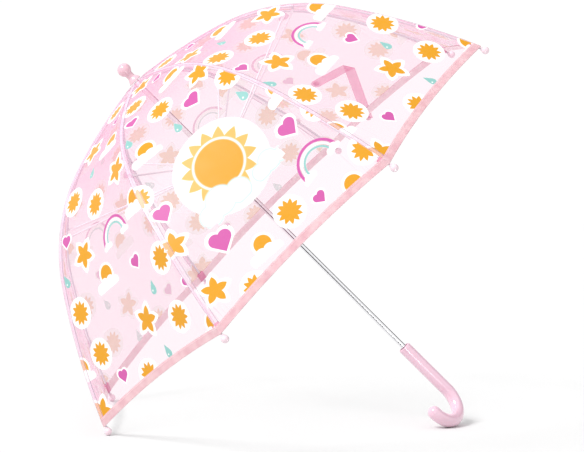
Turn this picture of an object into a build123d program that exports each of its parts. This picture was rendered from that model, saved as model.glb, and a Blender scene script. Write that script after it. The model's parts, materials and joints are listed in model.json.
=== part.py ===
"""Child's clear dome umbrella, open and lying on two rib tips and the crook of its handle.

Every piece is modelled upright in the umbrella's own frame, in millimetres: the shaft is the Z axis, the
ferrule is at the top and height 0 is the level of the rib tips. The last section lays the whole umbrella
down on the floor: +X runs from the crown to the handle, +Z is up.
"""
import os
from math import atan2, cos, degrees, hypot, radians, sin, sqrt

from build123d import *

os.makedirs("parts", exist_ok=True)

# ---- Driving dimensions -------------------------------------------------------------------------------

rib_count = 8
rib_turn = 360 / rib_count

# Ribs: one sprung rod each, bent by the canopy into three tangent arcs from the crown to the hem.
pivot_radius = 6.4          # ring of rib pivots round the shaft, the same at the runner
crown_height = 278.5        # rib pivots above the level of the tips
crown_slope = 84            # angle between shaft and rib where it leaves the crown
shoulder_length = 132       # first arc, out from the crown
shoulder_slope = 74         # slope at its far end
bend_length = 163           # second arc, the tightest
bend_slope = 36
skirt_length = 185          # third arc, down to the ball tip
skirt_slope = 24
rib_arcs = ((shoulder_length, shoulder_slope), (bend_length, bend_slope), (skirt_length, skirt_slope))
rib_rod_radius = 1.25
rod_length = sum(length for length, slope in rib_arcs)

# Flat eye at the inner end of a rib or stretcher, and the wire that threads the eyes.
blade_thickness = 1.2
blade_radius = 1.5
blade_length = 10
wire_radius = 0.5
wire_clearance = 0.1
slot_clearance = 0.15
rod_overlap = 1             # how far a round rod runs into its flattened end

# Stretcher joint: a sleeve round the rib with a lug, in the fork of the stretcher.
joint_reach = 230           # along the rib from the crown pivot
sleeve_radius = 1.9
sleeve_above = 8
sleeve_below = 1.5
lug_drop = 5.2              # from the rib's axis in to the stretcher's pin
lug_thickness = 1.6
pin_radius = 0.7
pin_clearance = 0.06
stretcher_radius = 1.2
ear_thickness = 1.0
ear_length = 7
flex_gap = 0.3              # between the two lengths of a rib, where it flexes

# Ball tips
tip_radius = 4.9
tip_neck_radius = 2.5
tip_neck_length = 5.9

# Canopy: eight film panels welded at the ribs, with a tape folded over the hem.
film_thickness = 0.6
film_lift = 2.4             # from a rib's axis out to the inside of the film
film_inner_radius = 4.7
seam_gap = 0.15             # from the edge of a panel to the rib's plane
hem_back = 7.5              # from the ball's centre back to the hem
hem_bow = 8                 # rise of the hem between two ribs
hem_width = 10
hem_thickness = 0.5
hem_clearance = 0.1

# Tie strap, lying folded on the outside of one panel
strap_width = 15
strap_thickness = 0.6
strap_lift = 0.35
strap_root_across = 49      # across the panel from its middle
strap_root_back = 1.5       # back from the hem along the rib
strap_fold_across = -25
strap_fold_back = 88.5
strap_end_across = 34
strap_end_back = 103.5
stud_radius = 4.5
stud_thickness = 1.2

# Shaft and crown
shaft_radius = 3.5
shaft_wall = 0.5
fit_clearance = 0.05
slide_clearance = 0.1
hub_radius = 9.2
hub_core_wall = 1.1
hub_edge = 0.8              # chamfer on the notch, rounding on the runner
notch_below = 5
notch_above = 2.0
shaft_end_gap = 1           # between each end of the shaft and the bottom of its bore

ferrule_seat = 3.5          # underside of the ferrule above the rib pivots
ferrule_ball_height = 24
ferrule_ball_radius = 9
ferrule_neck_radius = 5.2
ferrule_skirt_radius = 8.8
ferrule_rim = 1             # straight edge round the foot of the skirt
ferrule_waist = 0.55        # share of the height where the skirt meets the neck
ferrule_flare = 0.35        # how fast the skirt draws in above its rim
ferrule_bore_depth = 13

# Runner
runner_below = 28
runner_above = 2.4
runner_floor = 2.0
sleeve_wall = 2.3
hub_depth = 4
grip_radius = 9.2
grip_height = 3.5
grip_bevel = 1.5
window_width = 3.8
window_low = 22.5           # below the runner's pivots
window_high = 9

# Spring catches: one holds the runner up, the other holds it down
catch_turn = 90             # side of the shaft that they stand out on, a level side when it lies down
catch_width = 2.8
catch_height = 6.2          # from the shaft's axis to the catch's edge
catch_ramp = 15
catch_leaf = 32
catch_edge = 1.2
catch_inset = 2.7           # inner edge of the leaf, in from the outside of the shaft
catch_shoulder = 1.3        # foot of the ramp, in from the outside of the shaft
catch_ease = 0.5            # foot of the ramp, short of the slot's end
catch_bend = 2              # where the leaf turns back to its tail
catch_back = 0.6            # between the tail and the inside of the tube
catch_tail = 1              # thickness of the tail
catch_clearance = 0.3
catch_slot_width = 3.4

# Crook handle
runner_to_handle = 13.7     # bare shaft between the folded runner and the handle
handle_radius = 8.7
handle_straight = 80
crook_radius = 30
crook_turn = 237            # direction of the hook round the shaft
handle_socket = 45
handle_rim_wall = 1.9
handle_rim_depth = 2.5
handle_edge = 1.0

# Folding
closed_lean = 3.5           # of rib and stretcher from the shaft when folded

# ---- Forms worked out from them -----------------------------------------------------------------------


def rib_point(reach, lift=0, squeeze=1):
    """Radius and height of the point at a reach along a rib, lifted outwards from its axis."""
    radius, height, slope = pivot_radius, crown_height, radians(crown_slope)
    for length, end_slope in rib_arcs:
        bend_radius = length / (slope - radians(end_slope))
        run = min(reach, length)
        turned = slope - run / bend_radius
        radius += bend_radius * (cos(turned) - cos(slope))
        height -= bend_radius * (sin(slope) - sin(turned))
        reach -= run
        slope = turned
        if reach <= 0:
            break
    return ((radius + lift * cos(slope)) * squeeze, height + lift * sin(slope))


def rib_slope(reach):
    """Slope of a rib from the shaft's axis, in degrees."""
    slope = crown_slope
    for length, end_slope in rib_arcs:
        run = min(reach, length)
        slope += (end_slope - slope) * run / length
        reach -= run
        if reach <= 0:
            break
    return slope


def rib_line(start, end, lift=0, squeeze=1):
    """Tangent arcs that follow the rib between two reaches, for use in a BuildLine."""
    knots, reach = [start], 0
    for length, slope in rib_arcs:
        reach += length
        if start < reach < end:
            knots.append(reach)
    knots.append(end)
    for low, high in zip(knots, knots[1:]):
        ThreePointArc(*(rib_point(at, lift, squeeze) for at in (low, (low + high) / 2, high)))


def radial_plane(turn):
    """Plane through the shaft: local X points away from the shaft, local Y up it."""
    angle = radians(turn)
    return Plane(origin=(0, 0, 0), x_dir=(cos(angle), sin(angle), 0), z_dir=(sin(angle), -cos(angle), 0))


def facing_plane(turn):
    """Plane through the shaft, seen from outside: local X runs round the umbrella, local Y up the shaft."""
    angle = radians(turn)
    return Plane(origin=(0, 0, 0), x_dir=(-sin(angle), cos(angle), 0), z_dir=(cos(angle), sin(angle), 0))


def between(start, end, distance):
    """Point at a distance from start towards end."""
    length = hypot(end[0] - start[0], end[1] - start[1])
    share = distance / length
    return (start[0] + (end[0] - start[0]) * share, start[1] + (end[1] - start[1]) * share)


crown_pivot = (pivot_radius, crown_height)
joint_pivot = rib_point(joint_reach, -lug_drop)
stretcher_length = hypot(joint_pivot[0] - crown_pivot[0], joint_pivot[1] - crown_pivot[1])
runner_height = 2 * joint_pivot[1] - crown_height
runner_pivot = (pivot_radius, runner_height)
closed_runner_height = crown_height - 2 * stretcher_length * cos(radians(closed_lean))

inner_end = joint_reach + sleeve_below
flex_reach = inner_end + flex_gap + rib_rod_radius
flex_pivot = rib_point(flex_reach)
hem_reach = rod_length - hem_back
strap_route = (
    (strap_root_across, hem_reach - strap_root_back),
    (strap_fold_across, hem_reach - strap_fold_back),
    (strap_end_across, hem_reach - strap_end_back),
)

blade_eye = wire_radius + wire_clearance
fork_inside = lug_thickness / 2 + slot_clearance
fork_outside = fork_inside + ear_thickness
slot_width = blade_thickness + 2 * slot_clearance
hub_core_radius = shaft_radius + hub_core_wall

handle_top = closed_runner_height - runner_below - runner_to_handle
shaft_top = crown_height + ferrule_seat + ferrule_bore_depth - shaft_end_gap
shaft_bottom = handle_top - handle_socket + shaft_end_gap
runner_bottom = runner_height - runner_below
top_catch_edge = runner_bottom - catch_clearance
bottom_catch_edge = closed_runner_height - window_low + catch_clearance


def resting_tilt():
    """Slope of the shaft when two neighbouring tips and the crook stand on one floor."""
    tip = rib_point(rod_length)
    tip_side = tip[0] * cos(radians(rib_turn / 2))
    crook_side = -crook_radius * cos(radians(crook_turn))
    crook_centre = handle_top - handle_straight
    low, high = 20.0, 70.0
    for step in range(50):
        tilt = (low + high) / 2
        across, along = cos(radians(tilt)), sin(radians(tilt))
        tip_floor = tip[1] * along - tip_side * across - tip_radius
        crook_reach = sqrt((crook_side * across) ** 2 + (crook_radius * along) ** 2)
        crook_floor = crook_centre * along - crook_side * across - crook_reach - handle_radius
        if crook_floor > tip_floor:
            low = tilt
        else:
            high = tilt
    return tilt


tilt = resting_tilt()
pieces = []


def keep(part, label):
    """Name a finished piece and set it aside for the last section."""
    part.label = label
    pieces.append(part)


# ---- Shaft, ferrule and crown notch -------------------------------------------------------------------

catch_plane = radial_plane(catch_turn)
catch_face = facing_plane(catch_turn)

with BuildPart() as shaft:
    with BuildSketch(Plane.XY.offset(shaft_bottom)):
        Circle(shaft_radius)
        Circle(shaft_radius - shaft_wall, mode=Mode.SUBTRACT)
    extrude(amount=shaft_top - shaft_bottom)
    for edge, ramp_side in ((top_catch_edge, -1), (bottom_catch_edge, 1)):
        slot_start = edge - ramp_side * catch_clearance
        slot_end = edge + ramp_side * catch_ramp
        with BuildSketch(catch_face) as catch_slot:
            with Locations((0, (slot_start + slot_end) / 2)):
                Rectangle(catch_slot_width, abs(slot_end - slot_start))
        extrude(amount=2 * shaft_radius, mode=Mode.SUBTRACT)
keep(shaft.part, "shaft")

ferrule_base = crown_height + ferrule_seat
ferrule_ball = crown_height + ferrule_ball_height
ball_joint = sqrt(ferrule_ball_radius ** 2 - ferrule_neck_radius ** 2)
neck_top = ferrule_ball - ball_joint
rim_top = ferrule_base + ferrule_rim
neck_foot = ferrule_base + (neck_top - ferrule_base) * ferrule_waist

with BuildPart() as ferrule:
    with BuildSketch(Plane.XZ):
        with BuildLine():
            Polyline((0, ferrule_base), (ferrule_skirt_radius, ferrule_base), (ferrule_skirt_radius, rim_top))
            TangentArc(
                (ferrule_skirt_radius, rim_top),
                (ferrule_neck_radius, neck_foot),
                tangent=(-ferrule_flare, 1),
            )
            Line((ferrule_neck_radius, neck_foot), (ferrule_neck_radius, neck_top))
            ThreePointArc(
                (ferrule_neck_radius, neck_top),
                (ferrule_ball_radius, ferrule_ball),
                (0, ferrule_ball + ferrule_ball_radius),
            )
            Line((0, ferrule_ball + ferrule_ball_radius), (0, ferrule_base))
        make_face()
    revolve(axis=Axis.Z)
    with BuildSketch(Plane.XY.offset(ferrule_base)):
        Circle(shaft_radius + fit_clearance)
    extrude(amount=ferrule_bore_depth, mode=Mode.SUBTRACT)
keep(ferrule.part, "ferrule")


def hub_slots(low, high):
    """Slots for the flat eyes, cut in to the hub's core; for use in a BuildPart."""
    for number in range(rib_count):
        with BuildSketch(radial_plane(rib_turn * (number + 0.5))) as slot:
            with Locations((hub_core_radius + hub_radius / 2, (low + high) / 2)):
                Rectangle(hub_radius, high - low)
        extrude(slot.sketch, amount=slot_width / 2, both=True, mode=Mode.SUBTRACT)


def wire_groove(height):
    """Round channel for the pivot wire; for use in a BuildPart."""
    with BuildSketch(Plane.XZ) as groove:
        with Locations((pivot_radius, height)):
            Circle(wire_radius + fit_clearance)
    revolve(groove.sketch, axis=Axis.Z, mode=Mode.SUBTRACT)


with BuildPart() as crown_notch:
    with BuildSketch(Plane.XY.offset(crown_height - notch_below)):
        Circle(hub_radius)
    extrude(amount=notch_below + notch_above)
    chamfer(crown_notch.edges().filter_by(GeomType.CIRCLE), length=hub_edge)
    with BuildSketch(Plane.XY.offset(crown_height - notch_below)):
        Circle(shaft_radius + fit_clearance)
    extrude(amount=notch_below + notch_above, mode=Mode.SUBTRACT)
    hub_slots(crown_height - notch_below, crown_height + notch_above)
    wire_groove(crown_height)
keep(crown_notch.part, "crown_notch")


def pivot_wire(height, label):
    """Ring of wire that threads the eyes of eight ribs or stretchers."""
    with BuildPart() as wire:
        with BuildSketch(Plane.XZ):
            with Locations((pivot_radius, height)):
                Circle(wire_radius)
        revolve(axis=Axis.Z)
    keep(wire.part, label)


pivot_wire(crown_height, "crown_wire")
pivot_wire(runner_height, "runner_wire")

# ---- Runner and spring catches ------------------------------------------------------------------------

runner_bore = shaft_radius + slide_clearance
runner_top = runner_height + runner_above
hub_floor = runner_height - hub_depth
sleeve_outer = runner_bore + sleeve_wall
rim_limit = (sleeve_outer + grip_radius) / 2

with BuildPart() as runner:
    with BuildSketch(Plane.XZ):
        with BuildLine():
            Polyline(
                (runner_bore, runner_top),
                (hub_radius, runner_top),
                (hub_radius, hub_floor),
                (sleeve_outer, hub_floor - (hub_radius - sleeve_outer)),
                (sleeve_outer, runner_bottom + grip_height + grip_bevel),
                (grip_radius, runner_bottom + grip_height),
                (grip_radius, runner_bottom),
                (runner_bore, runner_bottom),
                close=True,
            )
        make_face()
    revolve(axis=Axis.Z)
    rims = runner.edges().filter_by(GeomType.CIRCLE).filter_by(lambda edge: edge.radius > rim_limit)
    fillet(rims, radius=hub_edge)
    hub_slots(runner_height - runner_floor, runner_top)
    wire_groove(runner_height)
    with BuildSketch(catch_face):
        with Locations((0, runner_height - (window_low + window_high) / 2)):
            SlotOverall(window_low - window_high, window_width, rotation=90)
    extrude(amount=2 * grip_radius, mode=Mode.SUBTRACT)
keep(runner.part, "runner")


def spring_catch(edge, ramp_side, label):
    """Leaf inside the shaft, with a ramp that stands out through the slot and a square edge."""
    leaf_inside = shaft_radius - catch_inset
    tail = shaft_radius - shaft_wall - catch_back
    outline = (
        (leaf_inside, 0),
        (catch_height, 0),
        (catch_height, catch_edge),
        (shaft_radius - catch_shoulder, catch_ramp - catch_ease),
        (catch_tail - tail, catch_leaf),
        (-tail, catch_leaf),
        (leaf_inside, catch_ramp - catch_bend),
    )
    with BuildPart() as catch:
        with BuildSketch(catch_plane):
            with BuildLine():
                Polyline(*((out, edge + ramp_side * along) for out, along in outline), close=True)
            make_face()
        extrude(amount=catch_width / 2, both=True)
    keep(catch.part, label)


spring_catch(top_catch_edge, -1, "top_catch")
spring_catch(bottom_catch_edge, 1, "bottom_catch")

# ---- Ribs, tips and stretchers ------------------------------------------------------------------------


def flat_eye(plane, pivot, far_end):
    """Flattened end with a hole for the pivot wire; for use in a BuildPart."""
    with BuildSketch(plane) as blade:
        with Locations(pivot, far_end):
            Circle(blade_radius)
        make_hull()
    extrude(blade.sketch, amount=blade_thickness / 2, both=True)
    with BuildSketch(plane) as eye:
        with Locations(pivot):
            Circle(blade_eye)
    extrude(eye.sketch, amount=blade_thickness, both=True, mode=Mode.SUBTRACT)


def rod_along_rib(plane, start, end, radius):
    """Round rod that follows the rib between two reaches; for use in a BuildPart."""
    with BuildLine(plane) as path:
        rib_line(start, end)
    with BuildSketch(Plane(origin=path.line @ 0, z_dir=path.line % 0)) as section:
        Circle(radius)
    sweep(section.sketch, path=path.line)


def build_rib(number):
    plane = radial_plane(rib_turn * (number - 0.5))
    with BuildPart() as rib:
        rod_along_rib(plane, blade_length - rod_overlap, inner_end, rib_rod_radius)
        flat_eye(plane, crown_pivot, rib_point(blade_length))
        rod_along_rib(plane, joint_reach - sleeve_above, inner_end, sleeve_radius)
        with BuildSketch(plane):
            with Locations(joint_pivot, rib_point(joint_reach, -rib_rod_radius)):
                Circle(blade_radius)
            make_hull()
        extrude(amount=lug_thickness / 2, both=True)
        with BuildSketch(plane):
            with Locations(joint_pivot):
                Circle(pin_radius + pin_clearance)
        extrude(amount=lug_thickness, both=True, mode=Mode.SUBTRACT)
    keep(rib.part, f"rib_{number}")


def build_rib_end(number):
    plane = radial_plane(rib_turn * (number - 0.5))
    with BuildPart() as rib_end:
        rod_along_rib(plane, flex_reach, rod_length, rib_rod_radius)
        with Locations(plane.from_local_coords(flex_pivot)):
            Sphere(rib_rod_radius)
    keep(rib_end.part, f"rib_end_{number}")


def build_tip(number):
    plane = radial_plane(rib_turn * (number - 0.5))
    centre = Vector(*rib_point(rod_length))
    slope = radians(rib_slope(rod_length))
    outwards = Vector(sin(slope), -cos(slope))
    neck_start = centre - outwards * tip_neck_length
    with BuildPart() as tip:
        with Locations(plane.from_local_coords(centre)):
            Sphere(tip_radius)
        neck_plane = Plane(
            origin=plane.from_local_coords(neck_start),
            z_dir=plane.from_local_coords(centre) - plane.from_local_coords(neck_start),
        )
        with BuildSketch(neck_plane):
            Circle(tip_neck_radius)
        extrude(amount=tip_neck_length)
        with BuildSketch(neck_plane):
            Circle(rib_rod_radius + fit_clearance)
        extrude(amount=tip_neck_length + fit_clearance, mode=Mode.SUBTRACT)
    keep(tip.part, f"rib_tip_{number}")


def build_stretcher(number):
    plane = radial_plane(rib_turn * (number - 0.5))
    rod_start = between(joint_pivot, runner_pivot, ear_length - 2 * rod_overlap)
    rod_end = between(runner_pivot, joint_pivot, blade_length - rod_overlap)
    stretcher_lean = degrees(atan2(runner_pivot[1] - joint_pivot[1], runner_pivot[0] - joint_pivot[0]))
    with BuildPart() as stretcher:
        with BuildLine(plane) as path:
            Line(rod_start, rod_end)
        with BuildSketch(Plane(origin=path.line @ 0, z_dir=path.line % 0)):
            Circle(stretcher_radius)
        sweep(path=path.line)
        flat_eye(plane, runner_pivot, between(runner_pivot, joint_pivot, blade_length))
        with BuildSketch(plane):
            with Locations(joint_pivot, between(joint_pivot, runner_pivot, ear_length)):
                Circle(blade_radius)
            make_hull()
        extrude(amount=fork_outside, both=True)
        with BuildSketch(plane):
            with Locations(between(joint_pivot, runner_pivot, ear_length / 2 - blade_radius)):
                Rectangle(
                    ear_length,
                    2 * ear_length,
                    rotation=stretcher_lean,
                )
        extrude(amount=fork_inside, both=True, mode=Mode.SUBTRACT)
        with BuildSketch(plane):
            with Locations(joint_pivot):
                Circle(pin_radius)
        extrude(amount=fork_outside, both=True)
    keep(stretcher.part, f"stretcher_{number}")


for rib_number in range(1, rib_count + 1):
    build_rib(rib_number)
    build_rib_end(rib_number)
    build_tip(rib_number)
    build_stretcher(rib_number)

# ---- Canopy film, hem tape and tie strap --------------------------------------------------------------

# Straight across from rib to rib, a panel is an extrusion of the rib's line, flattened by this share.
panel_squeeze = cos(radians(rib_turn / 2))
wide = rib_point(rod_length)[0]
tall = crown_height + ferrule_ball_height


def film_band(plane, start, end, inside, outside):
    """Slab between two lifts above the rib's line, straight across a panel; for use in a BuildPart."""
    with BuildSketch(plane) as slab:
        with BuildLine():
            rib_line(start, end, inside, panel_squeeze)
            rib_line(start, end, outside, panel_squeeze)
            for reach in (start, end):
                Line(rib_point(reach, inside, panel_squeeze), rib_point(reach, outside, panel_squeeze))
        make_face()
    extrude(slab.sketch, amount=wide, both=True)


def keep_wedge(turn):
    """Trim a slab to the wedge between two ribs; for use in a BuildPart."""
    half = radians(rib_turn / 2)
    apex = seam_gap / sin(half)
    reach = wide * 1.5
    flat = Plane(origin=(0, 0, -tall), x_dir=(cos(radians(turn)), sin(radians(turn)), 0), z_dir=(0, 0, 1))
    spread = reach * sin(half) / cos(half)
    with BuildSketch(flat) as wedge:
        Polygon((apex, 0), (apex + reach, spread), (apex + reach, -spread), align=None)
    extrude(wedge.sketch, amount=2 * tall, mode=Mode.INTERSECT)


def hem_cut(turn, rise, below):
    """Cut along the bowed hem, lifted by a rise, on its lower or upper side; for use in a BuildPart."""
    side = rib_point(hem_reach)[0] * sin(radians(rib_turn / 2))
    level = rib_point(hem_reach)[1] + rise * cos(radians(rib_slope(hem_reach)))
    bow = hem_bow * cos(radians(rib_slope(hem_reach)))
    far = -tall if below else tall
    with BuildSketch(facing_plane(turn)) as offcut:
        with BuildLine():
            ThreePointArc((-side, level), (0, level + bow), (side, level))
            Polyline((side, level), (2 * side, level), (2 * side, far))
            Line((2 * side, far), (-2 * side, far))
            Polyline((-2 * side, far), (-2 * side, level), (-side, level))
        make_face()
    extrude(offcut.sketch, amount=2 * wide, mode=Mode.SUBTRACT)


def build_panel(number):
    turn = rib_turn * number
    plane = radial_plane(turn)
    with BuildPart() as panel:
        film_band(plane, 0, rod_length, film_lift, film_lift + film_thickness)
        keep_wedge(turn)
        hem_cut(turn, 0, True)
        with BuildSketch(Plane.XY.offset(crown_height)):
            Circle(film_inner_radius)
        extrude(amount=ferrule_ball_height, mode=Mode.SUBTRACT)
    keep(panel.part, f"canopy_panel_{number}")


def build_hem(number):
    turn = rib_turn * number
    plane = radial_plane(turn)
    inside = film_lift + film_thickness + hem_clearance
    with BuildPart() as hem:
        film_band(plane, hem_reach - hem_bow - 3 * hem_width, rod_length, inside, inside + hem_thickness)
        keep_wedge(turn)
        hem_cut(turn, 0, True)
        hem_cut(turn, hem_width, False)
    keep(hem.part, f"hem_tape_{number}")


for panel_number in range(1, rib_count + 1):
    build_panel(panel_number)
    build_hem(panel_number)

strap_turn = rib_turn
strap_facing = facing_plane(strap_turn)
strap_points = [(across, rib_point(reach)[1]) for across, reach in strap_route]
strap_inside = film_lift + film_thickness + hem_clearance + hem_thickness + strap_lift

with BuildPart() as tie_strap:
    film_band(radial_plane(strap_turn), strap_route[-1][1] - 3 * strap_width, rod_length,
              strap_inside, strap_inside + strap_thickness)
    with BuildSketch(strap_facing):
        for start, end in zip(strap_points, strap_points[1:]):
            middle = between(start, end, hypot(end[0] - start[0], end[1] - start[1]) / 2)
            with Locations(middle):
                SlotCenterToCenter(
                    hypot(end[0] - start[0], end[1] - start[1]),
                    strap_width,
                    rotation=degrees(atan2(end[1] - start[1], end[0] - start[0])),
                )
    extrude(amount=2 * wide, mode=Mode.INTERSECT)
keep(tie_strap.part, "tie_strap")

stud_inside = strap_inside + strap_thickness + fit_clearance

with BuildPart() as strap_stud:
    film_band(radial_plane(strap_turn), strap_route[-1][1] - 3 * strap_width, rod_length,
              stud_inside, stud_inside + stud_thickness)
    with BuildSketch(strap_facing):
        with Locations(strap_points[0], strap_points[-1]):
            Circle(stud_radius)
    extrude(amount=2 * wide, mode=Mode.INTERSECT)
keep(strap_stud.part, "strap_stud")

# ---- Crook handle -------------------------------------------------------------------------------------

crook_plane = radial_plane(crook_turn)
crook_centre_height = handle_top - handle_straight

with BuildPart() as handle:
    with BuildLine(crook_plane) as crook:
        Line((0, handle_top), (0, crook_centre_height))
        ThreePointArc(
            (0, crook_centre_height),
            (crook_radius, crook_centre_height - crook_radius),
            (2 * crook_radius, crook_centre_height),
        )
    with BuildSketch(Plane(origin=crook.line @ 0, z_dir=crook.line % 0)):
        Circle(handle_radius)
    sweep(path=crook.line)
    with Locations(crook.line @ 1):
        Sphere(handle_radius)
    top_rim = handle.edges().filter_by(GeomType.CIRCLE).sort_by(Axis.Z)[-1]
    fillet(top_rim, radius=handle_edge)
    with BuildSketch(Plane.XY.offset(handle_top)):
        Circle(handle_radius - handle_rim_wall)
    extrude(amount=-handle_rim_depth, mode=Mode.SUBTRACT)
    with BuildSketch(Plane.XY.offset(handle_top)):
        Circle(shaft_radius + fit_clearance)
    extrude(amount=-handle_socket, mode=Mode.SUBTRACT)
keep(handle.part, "handle")

# ---- Lay the umbrella down and write every piece ------------------------------------------------------

# The tilt turns the shaft down towards +X; the floor is at height 0 and the box is centred over the origin.
laid = Location((0, 0, 0), (0, tilt - 90, 0))
box = Compound(children=[piece.moved(laid) for piece in pieces]).bounding_box()
to_origin = Location((-(box.min.X + box.max.X) / 2, -(box.min.Y + box.max.Y) / 2, -box.min.Z))

for piece in pieces:
    placed = piece.moved(to_origin * laid)
    placed.label = piece.label
    export_step(placed, f"parts/{piece.label}.step")
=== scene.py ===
"""Dresses the child's clear dome umbrella: printed film, binding, strap, frame finishes and the studio.

Lengths inside the functions are millimetres in the umbrella's own frame, where the shaft is the Z axis and
height 0 is the level of the rib tips; place() lays them down on the floor in metres.
"""
import json
import math

import bpy
import numpy as np
from bpy.props import FloatProperty, FloatVectorProperty, PointerProperty, StringProperty
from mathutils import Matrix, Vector


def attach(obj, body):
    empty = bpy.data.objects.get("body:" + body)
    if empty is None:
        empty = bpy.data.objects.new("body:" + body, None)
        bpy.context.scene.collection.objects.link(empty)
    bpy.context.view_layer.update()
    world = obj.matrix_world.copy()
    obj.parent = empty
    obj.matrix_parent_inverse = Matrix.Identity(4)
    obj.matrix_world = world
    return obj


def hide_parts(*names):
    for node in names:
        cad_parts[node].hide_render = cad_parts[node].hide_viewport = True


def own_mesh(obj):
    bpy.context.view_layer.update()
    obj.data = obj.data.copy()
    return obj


bl_info = {
    "name": "Clear dome umbrella",
    "version": (1, 0, 0),
    "blender": (4, 5, 0),
    "location": "3D View > Sidebar > Umbrella",
    "description": "Printed film, binding, tie strap, frame finishes and studio for a child's umbrella",
    "category": "Object",
}

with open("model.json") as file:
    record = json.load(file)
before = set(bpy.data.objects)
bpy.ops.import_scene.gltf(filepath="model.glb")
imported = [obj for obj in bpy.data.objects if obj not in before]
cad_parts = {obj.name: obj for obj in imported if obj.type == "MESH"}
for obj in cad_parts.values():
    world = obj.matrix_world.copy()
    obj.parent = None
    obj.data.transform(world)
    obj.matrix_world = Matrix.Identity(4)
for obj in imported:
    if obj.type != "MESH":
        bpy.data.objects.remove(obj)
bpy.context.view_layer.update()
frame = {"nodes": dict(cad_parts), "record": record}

# ---- The umbrella's own frame, from the ring of rib pivots, in millimetres -------------------------------

RIBS = 8
RIB_TURN = math.tau / RIBS
HALF_CHORD = math.sin(RIB_TURN / 2)     # half the way from rib to rib, as a share of the radius
CROWN_SLOPE = 84                        # slope of a rib at the crown, in degrees from the shaft
RIB_ARCS = ((132, 74), (163, 36), (185, 24))    # lengths of the rib's arcs, and its slope at the end of each
ROW_STEP = 0.5                          # spacing of the rows of the rib's table
CROWN_HEIGHT = 278.5
FLEX_REACH = 233.05                     # reaches are lengths along a rib from its pivot
HEM_REACH = 472.5
TIP_REACH = 480
HEM_BOW = 8                             # how much shorter a panel is at its middle
FILM_INSIDE = 2.45                      # lift of the film's inner face above the rib's axis
DRAW_SPAN = 0.62                        # share of half a sine wave that the draw-in follows down to the tips
REACH_STEP, ACROSS_STEP = 0.6, 0.004    # half the spans between which a slope of the film is taken
UP = np.array([0, 0, 1.0])

joints = {joint["name"]: joint for joint in frame["record"]["behaviour"]["joints"]}
couplings = {c["joint"]: c["ratio"] for c in frame["record"]["behaviour"]["couplings"]}
pivots = [Vector(joints["canopy_fold"]["pos_m"])]
pivots += [Vector(joints[f"rib_fold_{number}"]["pos_m"]) for number in range(2, RIBS + 1)]
crown = sum(pivots, Vector()) / RIBS
shaft_up = (pivots[0] - crown).cross(pivots[2] - crown).normalized()
first_rib = (pivots[0] - crown).normalized()
side_on = first_rib * math.cos(RIB_TURN / 2) - shaft_up.cross(first_rib) * math.sin(RIB_TURN / 2)
own_axes = np.array([side_on, shaft_up.cross(side_on), shaft_up])
own_origin = np.array(crown - shaft_up * CROWN_HEIGHT / 1000)
PIVOT_RADIUS = (pivots[0] - crown).length * 1000
FOLD = math.radians(joints["canopy_fold"]["range_deg"][1])
FLEX = FOLD * couplings["rib_flex_1"]


def place(points):
    """Points in the umbrella's own frame, in millimetres, laid down in metres."""
    return np.asarray(points, float) / 1000 @ own_axes + own_origin


def rib_table():
    """Reach, radius, height and slope in close steps along a rib."""
    rows = [(0.0, PIVOT_RADIUS, CROWN_HEIGHT, math.radians(CROWN_SLOPE))]
    for length, end_slope in RIB_ARCS:
        reach, radius, height, slope = rows[-1]
        bend = length / (slope - math.radians(end_slope))
        for run in np.arange(ROW_STEP, length + ROW_STEP / 2, ROW_STEP):
            turned = slope - run / bend
            rows.append((
                reach + run,
                radius + bend * (math.cos(turned) - math.cos(slope)),
                height - bend * (math.sin(slope) - math.sin(turned)),
                turned,
            ))
    return np.array(rows).T


RIB_ROWS = rib_table()


def rib_at(reach, lift=0.0):
    """Radius, height and slope at reaches along a rib, lifted outwards from its axis."""
    radius, height, slope = (np.interp(reach, RIB_ROWS[0], row) for row in RIB_ROWS[1:])
    return radius + lift * np.cos(slope), height + lift * np.sin(slope), slope


def around(angle):
    """Unit vectors away from the shaft and round it, at an angle."""
    out = np.array([math.cos(angle), math.sin(angle), 0.0])
    return out, np.cross(UP, out)


def film_at(panel, reach, across, lift, sag):
    """Points on a panel: across is -1 at its first rib and 1 at its second, and sag draws its middle in."""
    out, along = around(RIB_TURN * panel)
    radius, height, slope = rib_at(reach, lift)
    share = np.sin(np.clip(reach / TIP_REACH, 0, 1) * math.pi * DRAW_SPAN)
    drawn = sag * share * np.clip(1 - np.asarray(across) ** 2, 0, None)
    middle = radius * math.cos(RIB_TURN / 2) - drawn * np.cos(slope)
    rise = height - drawn * np.sin(slope)
    beside = np.asarray(across) * radius * HALF_CHORD
    return middle[..., None] * out + beside[..., None] * along + rise[..., None] * UP


def film_normal(panel, reach, across, lift, sag):
    """Outward unit normals of a panel."""
    above, below = (film_at(panel, reach + step, across, lift, sag) for step in (-REACH_STEP, REACH_STEP))
    before, after = (film_at(panel, reach, across + step, lift, sag) for step in (-ACROSS_STEP, ACROSS_STEP))
    normal = np.cross(below - above, after - before)
    return normal / np.linalg.norm(normal, axis=-1, keepdims=True)


def film_layers(panel, reach, across, over, under, sag):
    """Outer and inner face of a layer on a panel, at lifts above the rib's axis, and its outward normals."""
    outside, inside = (film_at(panel, reach, across, lift, sag) for lift in (over, under))
    return outside, inside, film_normal(panel, reach, across, FILM_INSIDE, sag)


def hem_line(across):
    """Reach of the bowed hem at places across a panel."""
    return HEM_REACH - HEM_BOW * (1 - np.asarray(across, float) ** 2)


def panel_half(rib, side):
    """Panel and the sign of the half of it that hangs on a rib, on its first or second side."""
    return (rib, -1) if side > 0 else ((rib - 2) % RIBS + 1, 1)


def half_name(kind, rib, side):
    """Name of the piece on one side of a rib."""
    return f"{kind}_{rib}_{'a' if side > 0 else 'b'}"


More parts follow.
